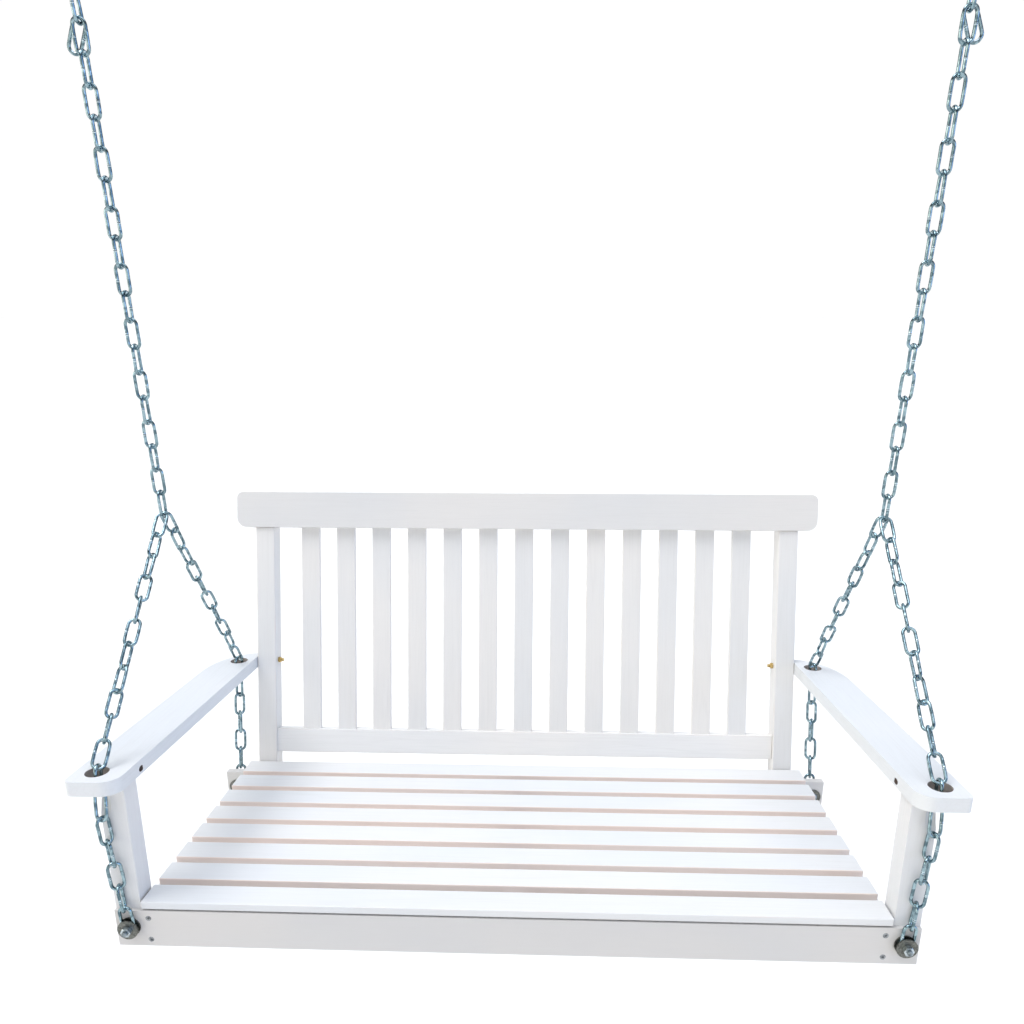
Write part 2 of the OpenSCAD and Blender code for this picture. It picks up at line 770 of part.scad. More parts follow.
module chain_washers() {
    color(zinc) in_seat() both_sides() {
        washer([front_bolt[0], -washer_thickness, front_bolt[2]]);
        washer([front_bolt[0], -washer_stack, front_bolt[2]]);
        washer([rear_bolt[0], rear_rail_front - washer_thickness, rear_bolt[2]]);
        washer([rear_bolt[0], rear_rail_back, rear_bolt[2]]);
        washer([rear_bolt[0], rear_rail_back + washer_stack - washer_thickness, rear_bolt[2]]);
    }
}

module chain_nuts() {
    color(zinc) in_seat() both_sides() {
        translate([front_bolt[0], -washer_stack, front_bolt[2]])
            rotate([90, 0, 0]) hex_nut(nut_across_flats, nut_height, chain_bolt_radius + 0.05);
        along_y([rear_bolt[0], rear_rail_back + washer_stack, rear_bolt[2]])
            hex_nut(nut_across_flats, nut_height, chain_bolt_radius + 0.05);
    }
}

// The back of the stile's heel isn't square to the rail, so its nuts seat on a flat spot.
function heel_back(z) = back_front + stile_run + stile_slope * z;

module stile_bolts() {
    color(zinc) in_seat() both_sides()
        for (z = stile_bolt_heights)
            along_y([stile_middle, rear_rail_front, z])
                coach_bolt(frame_bolt_radius, heel_back(z) - rear_rail_front + 9);
}

module stile_nuts() {
    color(zinc) in_seat() both_sides()
        for (z = stile_bolt_heights)
            along_y([stile_middle, heel_back(z) + 1.3, z])
                hex_nut(frame_nut_across_flats, frame_nut_height, frame_bolt_radius + 0.05);
}

module armrest_bolts() {
    bolt_start = stile_inner - frame_nut_height - 5;
    color(brass) in_seat() both_sides()
        translate([bolt_start, arm_bolt_y, arm_middle])
            rotate([0, 90, 0])
                cylinder(h = stile_outer + 25 - bolt_start, r = frame_bolt_radius);
}

module armrest_nuts() {
    color(brass) in_seat() both_sides()
        translate([stile_inner, arm_bolt_y, arm_middle])
            rotate([0, -90, 0])
                hex_nut(frame_nut_across_flats, frame_nut_height, frame_bolt_radius + 0.05);
}

module armrest_screws() {
    color(zinc) in_seat() both_sides()
        armrest_screw_place() translate([0, 0, armrest_screw_sink]) wood_screw(armrest_screw_length);
}

module rail_screws() {
    color(zinc) in_seat() both_sides()
        for (z = rail_screw_heights) {
            along_y([rail_screw_x, 0, z]) rotate([0, 0, z]) wood_screw(rail_screw_length);
            translate([rail_screw_x, rear_rail_back, z])
                rotate([90, 0, 0]) wood_screw(rail_screw_length);
        }
}

module slat_screws() {
    color(zinc) in_seat()
        for (i = [1:slat_count], x = [-slat_screw_x, 0, slat_screw_x])
            translate([x, slat_front(i) + slat_screw_along * slat_width, slat_screw_head_z])
                wood_screw(slat_lift + 8 - slat_screw_head_z);
}

module top_rail_screws() {
    color(zinc) in_seat() in_back() both_sides() top_rail_screw_places() wood_screw(24);
}

// ---- Nodes ----

hook(-1);  // hook_left
hook(1);  // hook_right
hook_link(-1);  // hook_link_left
hook_link(1);  // hook_link_right
spare_link(-1);  // spare_link_left
spare_link(1);  // spare_link_right
main_chain(-1);  // main_chain_left
main_chain(1);  // main_chain_right
junction_link(-1);  // junction_link_left
junction_link(1);  // junction_link_right
front_leg_chain(-1);  // front_leg_chain_left
front_leg_chain(1);  // front_leg_chain_right
rear_leg_chain(-1);  // rear_leg_chain_left
rear_leg_chain(1);  // rear_leg_chain_right
front_rail();
rear_rail();
side_rail(-1);  // side_rail_left
side_rail(1);  // side_rail_right
centre_bearer();
for (i = [1:slat_count])
    seat_slat(i);
front_post(-1);  // front_post_left
front_post(1);  // front_post_right
armrest(-1);  // armrest_left
armrest(1);  // armrest_right
back_stile(-1);  // back_stile_left
back_stile(1);  // back_stile_right
back_top_rail();
back_bottom_rail();
for (i = [1:back_slat_count])
    back_slat(i);
chain_bolts();
chain_washers();
chain_nuts();
stile_bolts();
stile_nuts();
armrest_bolts();
armrest_nuts();
armrest_screws();
rail_screws();
slat_screws();
top_rail_screws();
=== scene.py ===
"""Looks of the porch swing: a white slatted bench that hangs on two Y-shaped galvanised chains.

Everything is in metres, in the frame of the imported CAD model: +Z up, +Y to the back of the bench.
Boards are the CAD solids with eased edges and brushed paint, and chain links, washers and hooks are
modelled again in finer detail where the CAD has them.
"""

import json
import math
import random

import bmesh
import bpy
import numpy as np
from mathutils import Matrix, Vector
from mathutils.bvhtree import BVHTree

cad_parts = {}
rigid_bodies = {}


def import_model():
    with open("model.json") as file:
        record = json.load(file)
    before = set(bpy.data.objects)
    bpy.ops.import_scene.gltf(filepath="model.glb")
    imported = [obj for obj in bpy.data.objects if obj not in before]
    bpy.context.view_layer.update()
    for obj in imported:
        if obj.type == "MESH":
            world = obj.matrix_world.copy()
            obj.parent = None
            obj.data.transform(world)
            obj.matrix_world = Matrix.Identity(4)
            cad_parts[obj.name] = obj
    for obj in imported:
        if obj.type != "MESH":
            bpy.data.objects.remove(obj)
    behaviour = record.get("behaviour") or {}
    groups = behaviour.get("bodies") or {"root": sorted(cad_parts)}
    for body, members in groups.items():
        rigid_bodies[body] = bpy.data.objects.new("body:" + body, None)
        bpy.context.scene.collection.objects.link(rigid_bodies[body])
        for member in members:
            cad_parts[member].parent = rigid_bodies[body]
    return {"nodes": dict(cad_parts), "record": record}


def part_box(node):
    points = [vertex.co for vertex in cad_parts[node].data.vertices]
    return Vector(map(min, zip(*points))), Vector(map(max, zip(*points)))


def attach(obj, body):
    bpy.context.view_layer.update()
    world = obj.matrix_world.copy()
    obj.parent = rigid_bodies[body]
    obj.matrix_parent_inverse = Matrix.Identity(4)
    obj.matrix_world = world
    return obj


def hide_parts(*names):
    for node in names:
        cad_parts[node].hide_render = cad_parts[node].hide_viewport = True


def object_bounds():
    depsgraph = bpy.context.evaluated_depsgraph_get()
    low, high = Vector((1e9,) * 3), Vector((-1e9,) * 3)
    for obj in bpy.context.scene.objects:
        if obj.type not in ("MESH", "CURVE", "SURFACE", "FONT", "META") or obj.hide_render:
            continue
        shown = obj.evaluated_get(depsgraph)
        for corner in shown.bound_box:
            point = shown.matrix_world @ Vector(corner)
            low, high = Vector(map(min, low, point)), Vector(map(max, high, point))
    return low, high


MM = 0.001

for leftover in list(bpy.data.objects):
    bpy.data.objects.remove(leftover)
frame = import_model()
cad_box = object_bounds()
NODES = frame["nodes"]
BODIES = frame["record"]["behaviour"]["bodies"]
BODY_OF = {node: body for body, members in BODIES.items() for node in members}

# ---- Facts read from the frame ----


def box_corner(node):
    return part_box(node)[0]


def slope_of_row(first, last):
    """Turn about X that carries +Y to the way from one node's lowest corner to another's."""
    way = box_corner(last) - box_corner(first)
    return math.atan2(way.z, way.y)


def axes_of(points):
    """Longest, middle and shortest axis of a cloud of points, as rows."""
    return np.linalg.svd(points - points.mean(0), full_matrices=False)[2]


def node_points(node):
    mesh = NODES[node].data
    flat = np.empty(len(mesh.vertices) * 3, np.float32)
    mesh.vertices.foreach_get("co", flat)
    return flat.reshape(-1, 3).astype(float)


def lean_of(node):
    """Turn about X that carries +Z to a long upright node's length."""
    way = axes_of(node_points(node))[0]
    way = way if way[2] > 0 else -way
    return math.atan2(-way[1], way[2])


SEAT_TURN = slope_of_row("seat_slat_1", "seat_slat_8")
BACK_TURN = lean_of("back_slat_7")

# ---- Material nodes ----


def add(tree, kind, settings=None, **inputs):
    """A shader node. An input is a value or another node's socket.

    In an input's name _ stands for a space, and _0, _1 and so on are the inputs that go by number.
    """
    made = tree.nodes.new("ShaderNode" + kind)
    for name, value in (settings or {}).items():
        setattr(made, name, value)
    for name, value in inputs.items():
        socket = made.inputs[int(name[1:])] if name[0] == "_" else made.inputs[name.replace("_", " ")]
        if isinstance(value, bpy.types.NodeSocket):
            tree.links.new(value, socket)
        else:
            socket.default_value = value
    return made


def new_material(name):
    material = bpy.data.materials.new(name)
    material.use_nodes = True
    tree = material.node_tree
    return material, tree, tree.nodes["Principled BSDF"]


def connect(tree, source, target):
    tree.links.new(source, target)


def blend(tree, factor, first, second):
    """The socket of a colour between two."""
    mix = add(tree, "Mix", {"data_type": "RGBA"}, _0=factor)
    for value, socket in ((first, mix.inputs[6]), (second, mix.inputs[7])):
        if isinstance(value, bpy.types.NodeSocket):
            connect(tree, value, socket)
        else:
            socket.default_value = value
    return mix.outputs[2]


def ramp(tree, value, low, high, to_low=0.0, to_high=1.0):
    """A value carried smoothly from low..high to to_low..to_high, and held at its ends."""
    made = add(tree, "MapRange", {"interpolation_type": "SMOOTHSTEP"}, Value=value)
    limits = {"From Min": low, "From Max": high, "To Min": to_low, "To Max": to_high}
    for name, limit in limits.items():
        made.inputs[name].default_value = limit
    return made.outputs["Result"]


def maths(tree, operation, first, second):
    return add(tree, "Math", {"operation": operation}, _0=first, _1=second).outputs[0]


def attribute(tree, name):
    return add(tree, "Attribute", {"attribute_name": name}).outputs["Fac"]


def object_place(tree, turn):
    """Object coordinates turned about X, so that a leaning board's own axes are straight."""
    place = add(tree, "TexCoord").outputs["Object"]
    return add(tree, "Mapping", Vector=place, Rotation=(-turn, 0, 0)).outputs["Vector"]


def stretched(tree, place, scales):
    return add(tree, "Mapping", Vector=place, Scale=scales).outputs["Vector"]


def noise(tree, place, scale, detail, roughness, seed=None):
    """Noise at a place. seed makes each board's its own."""
    if seed is None:
        made = add(tree, "TexNoise", Vector=place)
    else:
        made = add(tree, "TexNoise", {"noise_dimensions": "4D"}, Vector=place, W=seed)
    made.inputs["Scale"].default_value = scale
    made.inputs["Detail"].default_value = detail
    made.inputs["Roughness"].default_value = roughness
    return made.outputs["Fac"]


def bump(tree, height, strength, distance):
    return add(tree, "Bump", Height=height, Strength=strength, Distance=distance).outputs["Normal"]


# ---- Painted wood ----

PAINT_COOL = (0.708, 0.713, 0.716, 1)
PAINT_WARM = (0.750, 0.738, 0.722, 1)
PAINT_GRIME = (0.560, 0.545, 0.525, 1)
KNOT_STAIN = (0.620, 0.595, 0.575, 1)
# Worn paint on eased edges, and painted warm bounce light and shade on slat front edges in the gaps
WORN_PAINT_AND_GAP_LIGHT = (0.785, 0.650, 0.580, 1)
BARE_WOOD = (0.330, 0.275, 0.240, 1)
# Near black: painted shade on the walls of narrow bores and pockets
SHADE_IN_BORES = (0.075, 0.050, 0.038, 1)
ALONG, ACROSS = 1.0, 26.0
KNOT_ALONG, KNOT_ACROSS = 1.7, 4.6
FIGURE_SCALE = 1.3
RINGS_PER_FIGURE = 9.0
FIBRE_SCALE = 16.0
BRUSH_SCALE = 52.0
PATCH_SCALE = 3.4
DUST_SCALE = 240.0
WARP_SCALE = 30.0
WARP = 0.12
SEED_RANGE = 40.0
PAINT_RELIEF = 0.35 * MM


def painted_wood(name, turn, grain, light_and_shade_tint):
    """White brushed paint over softwood, tinted per part as painted light and shade. grain is the index of
    the board's long axis once turned back.
    """
    material, tree, shader = new_material(name)
    place = object_place(tree, turn)
    seed = maths(tree, "MULTIPLY", attribute(tree, "board"), SEED_RANGE)
    shape = [ACROSS] * 3
    shape[grain] = ALONG
    fibre_place = stretched(tree, place, shape)
    figure = noise(tree, fibre_place, FIGURE_SCALE, 2.0, 0.5, seed)
    rings = maths(tree, "PINGPONG", maths(tree, "MULTIPLY", figure, RINGS_PER_FIGURE), 1.0)
    fibre = noise(tree, fibre_place, FIBRE_SCALE, 5.0, 0.62, seed)
    brush = noise(tree, fibre_place, BRUSH_SCALE, 2.0, 0.5, seed)
    patches = noise(tree, place, PATCH_SCALE, 2.0, 0.5, seed)
    dust = noise(tree, place, DUST_SCALE, 2.0, 0.6)

    cool, warm = ([c * t for c, t in zip(tone, light_and_shade_tint)] + [1] for tone in (PAINT_COOL, PAINT_WARM))
    colour = blend(tree, ramp(tree, patches, 0.36, 0.66), cool, warm)
    colour = blend(tree, ramp(tree, fibre, 0.40, 0.78, 0.0, 0.16), colour, PAINT_GRIME)
    colour = blend(tree, ramp(tree, rings, 0.80, 1.0, 0.0, 0.07), colour, PAINT_GRIME)
    knot_shape = [KNOT_ACROSS] * 3
    knot_shape[grain] = KNOT_ALONG
    warp = maths(tree, "MULTIPLY", noise(tree, place, WARP_SCALE, 2.0, 0.5), WARP)
    shift = add(tree, "CombineXYZ", X=warp).outputs[0]
    straight = stretched(tree, place, knot_shape)
    knot_place = add(tree, "VectorMath", {"operation": "ADD"}, _0=straight, _1=shift).outputs[0]
    knots = add(tree, "TexVoronoi", {"voronoi_dimensions": "4D"}, Vector=knot_place, W=seed, Scale=1.0)
    stain = ramp(tree, knots.outputs["Distance"], 0.05, 0.20, 0.34, 0.0)
    colour = blend(tree, stain, colour, KNOT_STAIN)
    worn = maths(tree, "MULTIPLY", attribute(tree, "eased"), ramp(tree, fibre, 0.46, 0.70, 0.04, 0.42))
    colour = blend(tree, worn, colour, WORN_PAINT_AND_GAP_LIGHT)
    # Slat front edges in the gaps: painted warm bounce light and shade, in the worn paint's colour
    painted_gap_light = maths(tree, "MULTIPLY", attribute(tree, "painted_gap_light"), ramp(tree, figure, 0.36, 0.62, 0.74, 1.0))
    colour = blend(tree, painted_gap_light, colour, WORN_PAINT_AND_GAP_LIGHT)
    bare = maths(tree, "MULTIPLY", attribute(tree, "bare"), ramp(tree, dust, 0.30, 0.70, 0.80, 1.0))
    colour = blend(tree, bare, colour, BARE_WOOD)
    # Walls of narrow bores and pockets: painted shade
    colour = blend(tree, attribute(tree, "painted_bore_shade"), colour, SHADE_IN_BORES)
    connect(tree, colour, shader.inputs["Base Color"])

    rough = ramp(tree, fibre, 0.30, 0.80, 0.33, 0.50)
    rough = maths(tree, "ADD", rough, ramp(tree, dust, 0.45, 0.75, 0.0, 0.08))
    rough = maths(tree, "ADD", rough, maths(tree, "MULTIPLY", attribute(tree, "bare"), 0.3))
    connect(tree, rough, shader.inputs["Roughness"])
    height = maths(tree, "ADD", maths(tree, "MULTIPLY", fibre, 0.55), maths(tree, "MULTIPLY", brush, 0.30))
    height = maths(tree, "ADD", height, maths(tree, "MULTIPLY", rings, 0.10))
    connect(tree, bump(tree, height, 0.30, PAINT_RELIEF), shader.inputs["Normal"])
    shader.inputs["Specular IOR Level"].default_value = 0.45
    return material


# ---- Metals ----

# Polished zinc with a painted cyan highlight, for rubbed bends, weld rims and the hook's saddle
RUBBED_AND_HIGHLIGHT = (0.80, 0.92, 0.97, 1)
SEAM_DARK = (0.045, 0.060, 0.065, 1)
MARKS_SCALE = 900.0
METAL_CLOUD_SCALE = 260.0
PLATING_RELIEF = 0.15 * MM
THREAD_RELIEF = 0.12 * MM


def zinc(name, dull, bright, rough, cell, brushed=None):
    """Zinc plating: spangles, handling marks and a fine pitted skin. brushed stretches the marks."""
    material, tree, shader = new_material(name)
    place = object_place(tree, SEAT_TURN)
    marks_place = stretched(tree, place, brushed) if brushed else place
    spangle = add(tree, "TexVoronoi", Vector=place, Scale=cell).outputs["Color"]
    spangle = add(tree, "SeparateColor", Color=spangle).outputs[0]
    cloud = noise(tree, place, cell * 0.8, 3.0, 0.6)
    marks = noise(tree, marks_place, MARKS_SCALE, 3.0, 0.65)
    tone = maths(tree, "ADD", maths(tree, "MULTIPLY", spangle, 0.35),
                 maths(tree, "MULTIPLY", cloud, 0.65))
    colour = blend(tree, ramp(tree, tone, 0.28, 0.72), dull, bright)
    # Rubbed places: polished zinc with a painted cyan highlight on top
    shine = maths(tree, "MULTIPLY", attribute(tree, "rubbed_and_highlit"), 0.85)
    colour = blend(tree, shine, colour, RUBBED_AND_HIGHLIGHT)
    grime = maths(tree, "MULTIPLY", attribute(tree, "seam"), 0.30)
    colour = blend(tree, grime, colour, SEAM_DARK)
    connect(tree, colour, shader.inputs["Base Color"])
    marked = ramp(tree, marks, 0.25, 0.75, rough - 0.07, rough + 0.10)
    smoothed = maths(tree, "MULTIPLY", attribute(tree, "rubbed_and_highlit"), -0.10)
    connect(tree, maths(tree, "ADD", marked, smoothed), shader.inputs["Roughness"])
    height = maths(tree, "ADD", maths(tree, "MULTIPLY", marks, 0.5), maths(tree, "MULTIPLY", cloud, 0.5))
    connect(tree, bump(tree, height, 0.35, PLATING_RELIEF), shader.inputs["Normal"])
    shader.inputs["Metallic"].default_value = 1.0
    return material


def threaded_metal(name, dull, bright, pitch):
    """Plated steel or brass with fine thread marks at a pitch."""
    material, tree, shader = new_material(name)
    place = object_place(tree, SEAT_TURN)
    cloud = noise(tree, place, METAL_CLOUD_SCALE, 4.0, 0.6)
    connect(tree, blend(tree, ramp(tree, cloud, 0.3, 0.7), dull, bright), shader.inputs["Base Color"])
    connect(tree, ramp(tree, cloud, 0.3, 0.8, 0.26, 0.46), shader.inputs["Roughness"])
    turns = add(tree, "TexWave", {"wave_type": "BANDS", "bands_direction": "DIAGONAL"}, Vector=place)
    turns.inputs["Scale"].default_value = 0.5 / pitch
    height = maths(tree, "ADD", maths(tree, "MULTIPLY", turns.outputs["Fac"], 0.2), cloud)
    connect(tree, bump(tree, height, 0.3, THREAD_RELIEF), shader.inputs["Normal"])
    shader.inputs["Metallic"].default_value = 1.0
    return material


ALONG_X, ALONG_Y, ALONG_Z = 0, 1, 2
# Each part's tint makes its white paint lighter, darker, warmer or cooler by how light falls on that part:
# painted light and shade.
PAINT_RAIL = painted_wood("paint_on_rails", SEAT_TURN, ALONG_X, (0.840, 0.820, 0.798))
PAINT_SEAT = painted_wood("paint_on_seat", SEAT_TURN, ALONG_X, (0.955, 0.970, 0.980))
PAINT_ARMS = painted_wood("paint_on_arms", SEAT_TURN, ALONG_Y, (0.936, 0.965, 0.990))
PAINT_POSTS = painted_wood("paint_on_posts", SEAT_TURN, ALONG_Z, (0.975, 0.980, 0.985))
PAINT_TOP_RAIL = painted_wood("paint_on_top_rail", BACK_TURN, ALONG_X, (0.936, 0.922, 0.903))
PAINT_LOWER_RAIL = painted_wood("paint_on_lower_rail", BACK_TURN, ALONG_X, (1.098, 1.081, 1.056))
PAINT_BACK = painted_wood("paint_on_back", BACK_TURN, ALONG_Z, (1.009, 0.993, 0.970))
CHAIN_ZINC = zinc("chain_zinc", (0.10, 0.16, 0.185, 1), (0.335, 0.46, 0.50, 1), 0.17, 170.0)
WASHER_ZINC = zinc("washer_zinc", (0.095, 0.098, 0.088, 1), (0.20, 0.205, 0.185, 1), 0.36, 420.0,
                   brushed=(1.0, 1.0, 0.12))
SCREW_ZINC = threaded_metal("screw_zinc", (0.16, 0.17, 0.18, 1), (0.40, 0.42, 0.43, 1), 1.8 * MM)
# Near-black brown armrest screws: painted shade down in their pockets
POCKET_SHADE_SCREW = threaded_metal("screw_in_painted_pocket_shade", (0.040, 0.030, 0.024, 1), (0.100, 0.078, 0.062, 1), 1.8 * MM)
BOLT_ZINC = threaded_metal("bolt_zinc", (0.13, 0.155, 0.165, 1), (0.34, 0.39, 0.41, 1), 1.25 * MM)
NUT_ZINC = threaded_metal("nut_zinc", (0.36, 0.41, 0.43, 1), (0.62, 0.69, 0.71, 1), 1.25 * MM)
BRASS = threaded_metal("aged_brass", (0.40, 0.27, 0.09, 1), (0.76, 0.57, 0.24, 1), 1.0 * MM)

# ---- Pieces made from the CAD solids ----

WELD_DISTANCE = 0.002 * MM
FLAT_ANGLE = math.radians(0.6)
SHARP_ANGLE = math.radians(35)
EASED_ANGLE = math.radians(40)
CAVITY_REACH = 50 * MM
DEEP_BORE = 12 * MM
FACE_FLAGS = ("eased", "bare", "painted_bore_shade", "painted_gap_light", "board")
FRONT_EDGE_LEAST = 0.9


def plain_copy(node):
    """The node's solid as a welded bmesh whose flat faces are whole again."""
    source = NODES[node].data
    mesh = bpy.data.meshes.new("copy")
    mesh.from_pydata([v.co for v in source.vertices], [], [p.vertices[:] for p in source.polygons])
    bm = bmesh.new()
    bm.from_mesh(mesh)
    bpy.data.meshes.remove(mesh)
    bmesh.ops.remove_doubles(bm, verts=bm.verts, dist=WELD_DISTANCE)
    bmesh.ops.dissolve_limit(bm, angle_limit=FLAT_ANGLE, verts=bm.verts, edges=bm.edges)
    bm.normal_update()
    return bm


def cavity_faces(bm):
    """How far each wall of a bore or mortise is from the wall across it, by face.

    A wall whose own middle looks out of a slanting mouth has the distance of the wall it curves on from.
    """
    tree = BVHTree.FromBMesh(bm)
    found = {}
    for face in bm.faces:
        start = face.calc_center_median() + face.normal * 0.05 * MM
        *_, distance = tree.ray_cast(start, face.normal, CAVITY_REACH)
        if distance is not None:
            found[face] = distance
    waiting = list(found)
    while waiting:
        face = waiting.pop()
        for edge in face.edges:
            if edge.is_manifold and not edge.is_convex and edge.calc_face_angle() < SHARP_ANGLE:
                for neighbour in edge.link_faces:
                    if neighbour not in found:
                        found[neighbour] = found[face]
                        waiting.append(neighbour)
    return found


def as_object(bm, name, material, body):
    """Turns a bmesh into a shaded piece that rides on a body."""
    bm.normal_update()
    for face in bm.faces:
        face.smooth = True
    for edge in bm.edges:
        edge.smooth = not edge.is_manifold or edge.calc_face_angle(0.0) < SHARP_ANGLE
    mesh = bpy.data.meshes.new(name)
    bm.to_mesh(mesh)
    bm.free()
    mesh.materials.append(material)
    piece = bpy.data.objects.new(name, mesh)
    bpy.context.scene.collection.objects.link(piece)
    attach(piece, body)
    return piece


def eased_copy(node, name, material, ease, segments=3, gap_light_on=None):
    """The CAD solid with its outer edges rounded by ease, standing for its node.

    The flags are made first, because a new layer ends the use of every face held before it.
    """
    bm = plain_copy(node)
    for flag in FACE_FLAGS:
        bm.faces.layers.float.new(flag)
    eased, bare, painted_bore_shade, painted_gap_light, board = (bm.faces.layers.float[flag] for flag in FACE_FLAGS)
    inside = cavity_faces(bm)
    tone = random.Random(node).random()
    for face in bm.faces:
        face[bare] = 1.0 if face in inside else 0.0
        # Narrow bores and pockets are flagged for painted shade
        face[painted_bore_shade] = 1.0 if inside.get(face, DEEP_BORE) < DEEP_BORE else 0.0
        face[painted_gap_light] = gap_light_on(face) if gap_light_on else 0.0
    outer = [e for e in bm.edges if e.is_manifold and e.is_convex and e.calc_face_angle() > EASED_ANGLE
             and not any(face in inside for face in e.link_faces)]
    made = bmesh.ops.bevel(bm, geom=outer, offset=ease, segments=segments, profile=0.5,
                           affect="EDGES", clamp_overlap=True, loop_slide=True)
    for face in made["faces"]:
        face[eased] = 1.0
    for face in bm.faces:
        face[board] = tone
    piece = as_object(bm, name, material, BODY_OF[node])
    even = piece.modifiers.new("even_shading", "WEIGHTED_NORMAL")
    even.keep_sharp = True
    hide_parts(node)


FORWARD = Matrix.Rotation(SEAT_TURN, 3, "X") @ Vector((0, -1, 0))


def faces_front(face):
    """1 on a slat's front edge, down in the gap, where warm bounce light from below is painted on."""
    return 1.0 if face.normal.dot(FORWARD) > FRONT_EDGE_LEAST else 0.0


BOARDS = [
    # nodes, material, radius of the eased edges
    (["front_rail", "rear_rail"], PAINT_RAIL, 1.6 * MM),
    (["side_rail_left", "side_rail_right", "centre_bearer"], PAINT_ARMS, 1.6 * MM),
    (["front_post_left", "front_post_right"], PAINT_POSTS, 1.8 * MM),
    (["armrest_left", "armrest_right"], PAINT_ARMS, 3.2 * MM),
    (["back_stile_left", "back_stile_right"], PAINT_BACK, 2.2 * MM),
    (["back_top_rail"], PAINT_TOP_RAIL, 3.0 * MM),
    (["back_bottom_rail"], PAINT_LOWER_RAIL, 2.0 * MM),
    ([n for n in NODES if n.startswith("back_slat_")], PAINT_BACK, 1.4 * MM),
]
for nodes, material, ease in BOARDS:
    for node in nodes:
        eased_copy(node, "painted_" + node, material, ease)
for node in [n for n in NODES if n.startswith("seat_slat_")]:
    # The front slat's edge stands out of the gaps, so it gets no painted bounce light
    gap_light_on = None if node == "seat_slat_1" else faces_front
    eased_copy(node, "painted_" + node, PAINT_SEAT, 1.6 * MM, gap_light_on=gap_light_on)
eased_copy("chain_washers", "plated_chain_washers", WASHER_ZINC, 0.45 * MM, segments=2)

# ---- Tubes ----


def join_rings(bm, rings, closed=False):
    """Quads from each ring of points to the next. A closed form joins its ends, an open one is capped."""
    following = rings[1:] + rings[:1] if closed else rings[1:]
    for ring, onward in zip(rings, following):
        for k in range(len(ring)):
            after = (k + 1) % len(ring)
            bm.faces.new((ring[k], ring[after], onward[after], onward[k]))
    if not closed:
        bm.faces.new(rings[0][::-1])
        bm.faces.new(rings[-1])


def sweep(bm, centres, radii, sides, closed=False):
    """A round tube of varying radius along points, as its rings."""
    count = len(centres)
    rings = []
    guide = None
    for i, centre in enumerate(centres):
        before = centres[i - 1] if closed or i else centres[0]
        after = centres[(i + 1) % count] if closed or i < count - 1 else centres[-1]
        along = (after - before).normalized()
        if guide is None:
            guide = along.orthogonal()
        guide = (guide - along * guide.dot(along)).normalized()
        side = along.cross(guide)
        ring = [bm.verts.new(centre + radii[i] * (math.cos(a) * guide + math.sin(a) * side))
                for a in (2 * math.pi * k / sides for k in range(sides))]
        rings.append(ring)
    join_rings(bm, rings, closed)
    return rings


def level_ring(bm, radii, z):
    """Points round the Z axis at a height, evenly spaced, each with its own radius."""
    step = 2 * math.pi / len(radii)
    return [bm.verts.new((r * math.cos(step * k), r * math.sin(step * k), z)) for k, r in enumerate(radii)]


# ---- Chain links ----

LINK_SIDES = 12
BEND_STEPS = 12
PLAIN_STEPS = 5
WEAR_AND_HIGHLIGHT_FLAGS = ("rubbed_and_highlit", "seam")
WELD_HALF_WIDTH = 1.1 * MM
WELD_HEIGHT = 0.34 * MM
SEAM_HALF_WIDTH = 0.35 * MM
SEAM_DEPTH = 0.52 * MM
WELD_RIM = 0.5 * MM
# How much the weld's rim is rubbed and painted bright as a highlight
WELD_SHINE = 0.8
WELD_STRAY = 1.6 * MM
BOW_RANGE = (-0.25 * MM, 0.35 * MM)
MOST_TWIST = math.radians(3)
WAVINESS = 0.012
WAVES_ALONG = 900
WAVE_SHIFT = 9000
# Rings of the welded side: shares of the straight away from the weld, and millimetres from the weld
SIDE_STOPS = (-1.0, -0.72, -0.42)
WELD_STOPS = [0.1 * k for k in (-34, -22, -16, -11, -7, -4, -2, 0, 2, 4, 7, 11, 16, 22, 34)]


def islands(points, edges):
    """Index lists of the connected parts of a mesh whose seams are split."""
    keys = np.round(points / (WELD_DISTANCE * 2)).astype(np.int64)
    whole, of_point = np.unique(keys, axis=0, return_inverse=True)
    of_point = of_point.reshape(-1)
    a, b = of_point[edges[:, 0]], of_point[edges[:, 1]]
    label = np.arange(len(whole))
    while True:
        low = np.minimum(label[a], label[b])
        lower = label.copy()
        np.minimum.at(lower, a, low)
        np.minimum.at(lower, b, low)
        lower = lower[lower]
        if np.array_equal(lower, label):
            break
        label = lower
    labels = label[of_point]
    return [np.flatnonzero(labels == k) for k in np.unique(labels)]


def link_places(node):
    """(place, length, width, wire) of each link in a chain node, from the top down.

    place has Z along the link and Y out of its flat.
    """
    mesh = NODES[node].data
    points = node_points(node)
    edges = np.empty(len(mesh.edges) * 2, np.int64)
    mesh.edges.foreach_get("vertices", edges)
    found = []
    for part in islands(points, edges.reshape(-1, 2)):
        cloud = points[part]
        long, wide, flat = axes_of(cloud)
        long = long if long[2] > 0 else -long
        turned = cloud @ np.array([long, wide, flat]).T
        middle = (turned.max(0) + turned.min(0)) / 2
        length, width, wire = (float(size) for size in np.ptp(turned, 0))
        x_axis = Vector(np.cross(flat, long))
        place = Matrix((x_axis, Vector(flat), Vector(long))).transposed().to_4x4()
        place.translation = Vector(middle @ np.array([long, wide, flat]))
        found.append((place, length, width, wire))
    return sorted(found, key=lambda link: -link[0].translation.z)


def hump(distance, half_width):
    return math.exp(-((distance / half_width) ** 2))


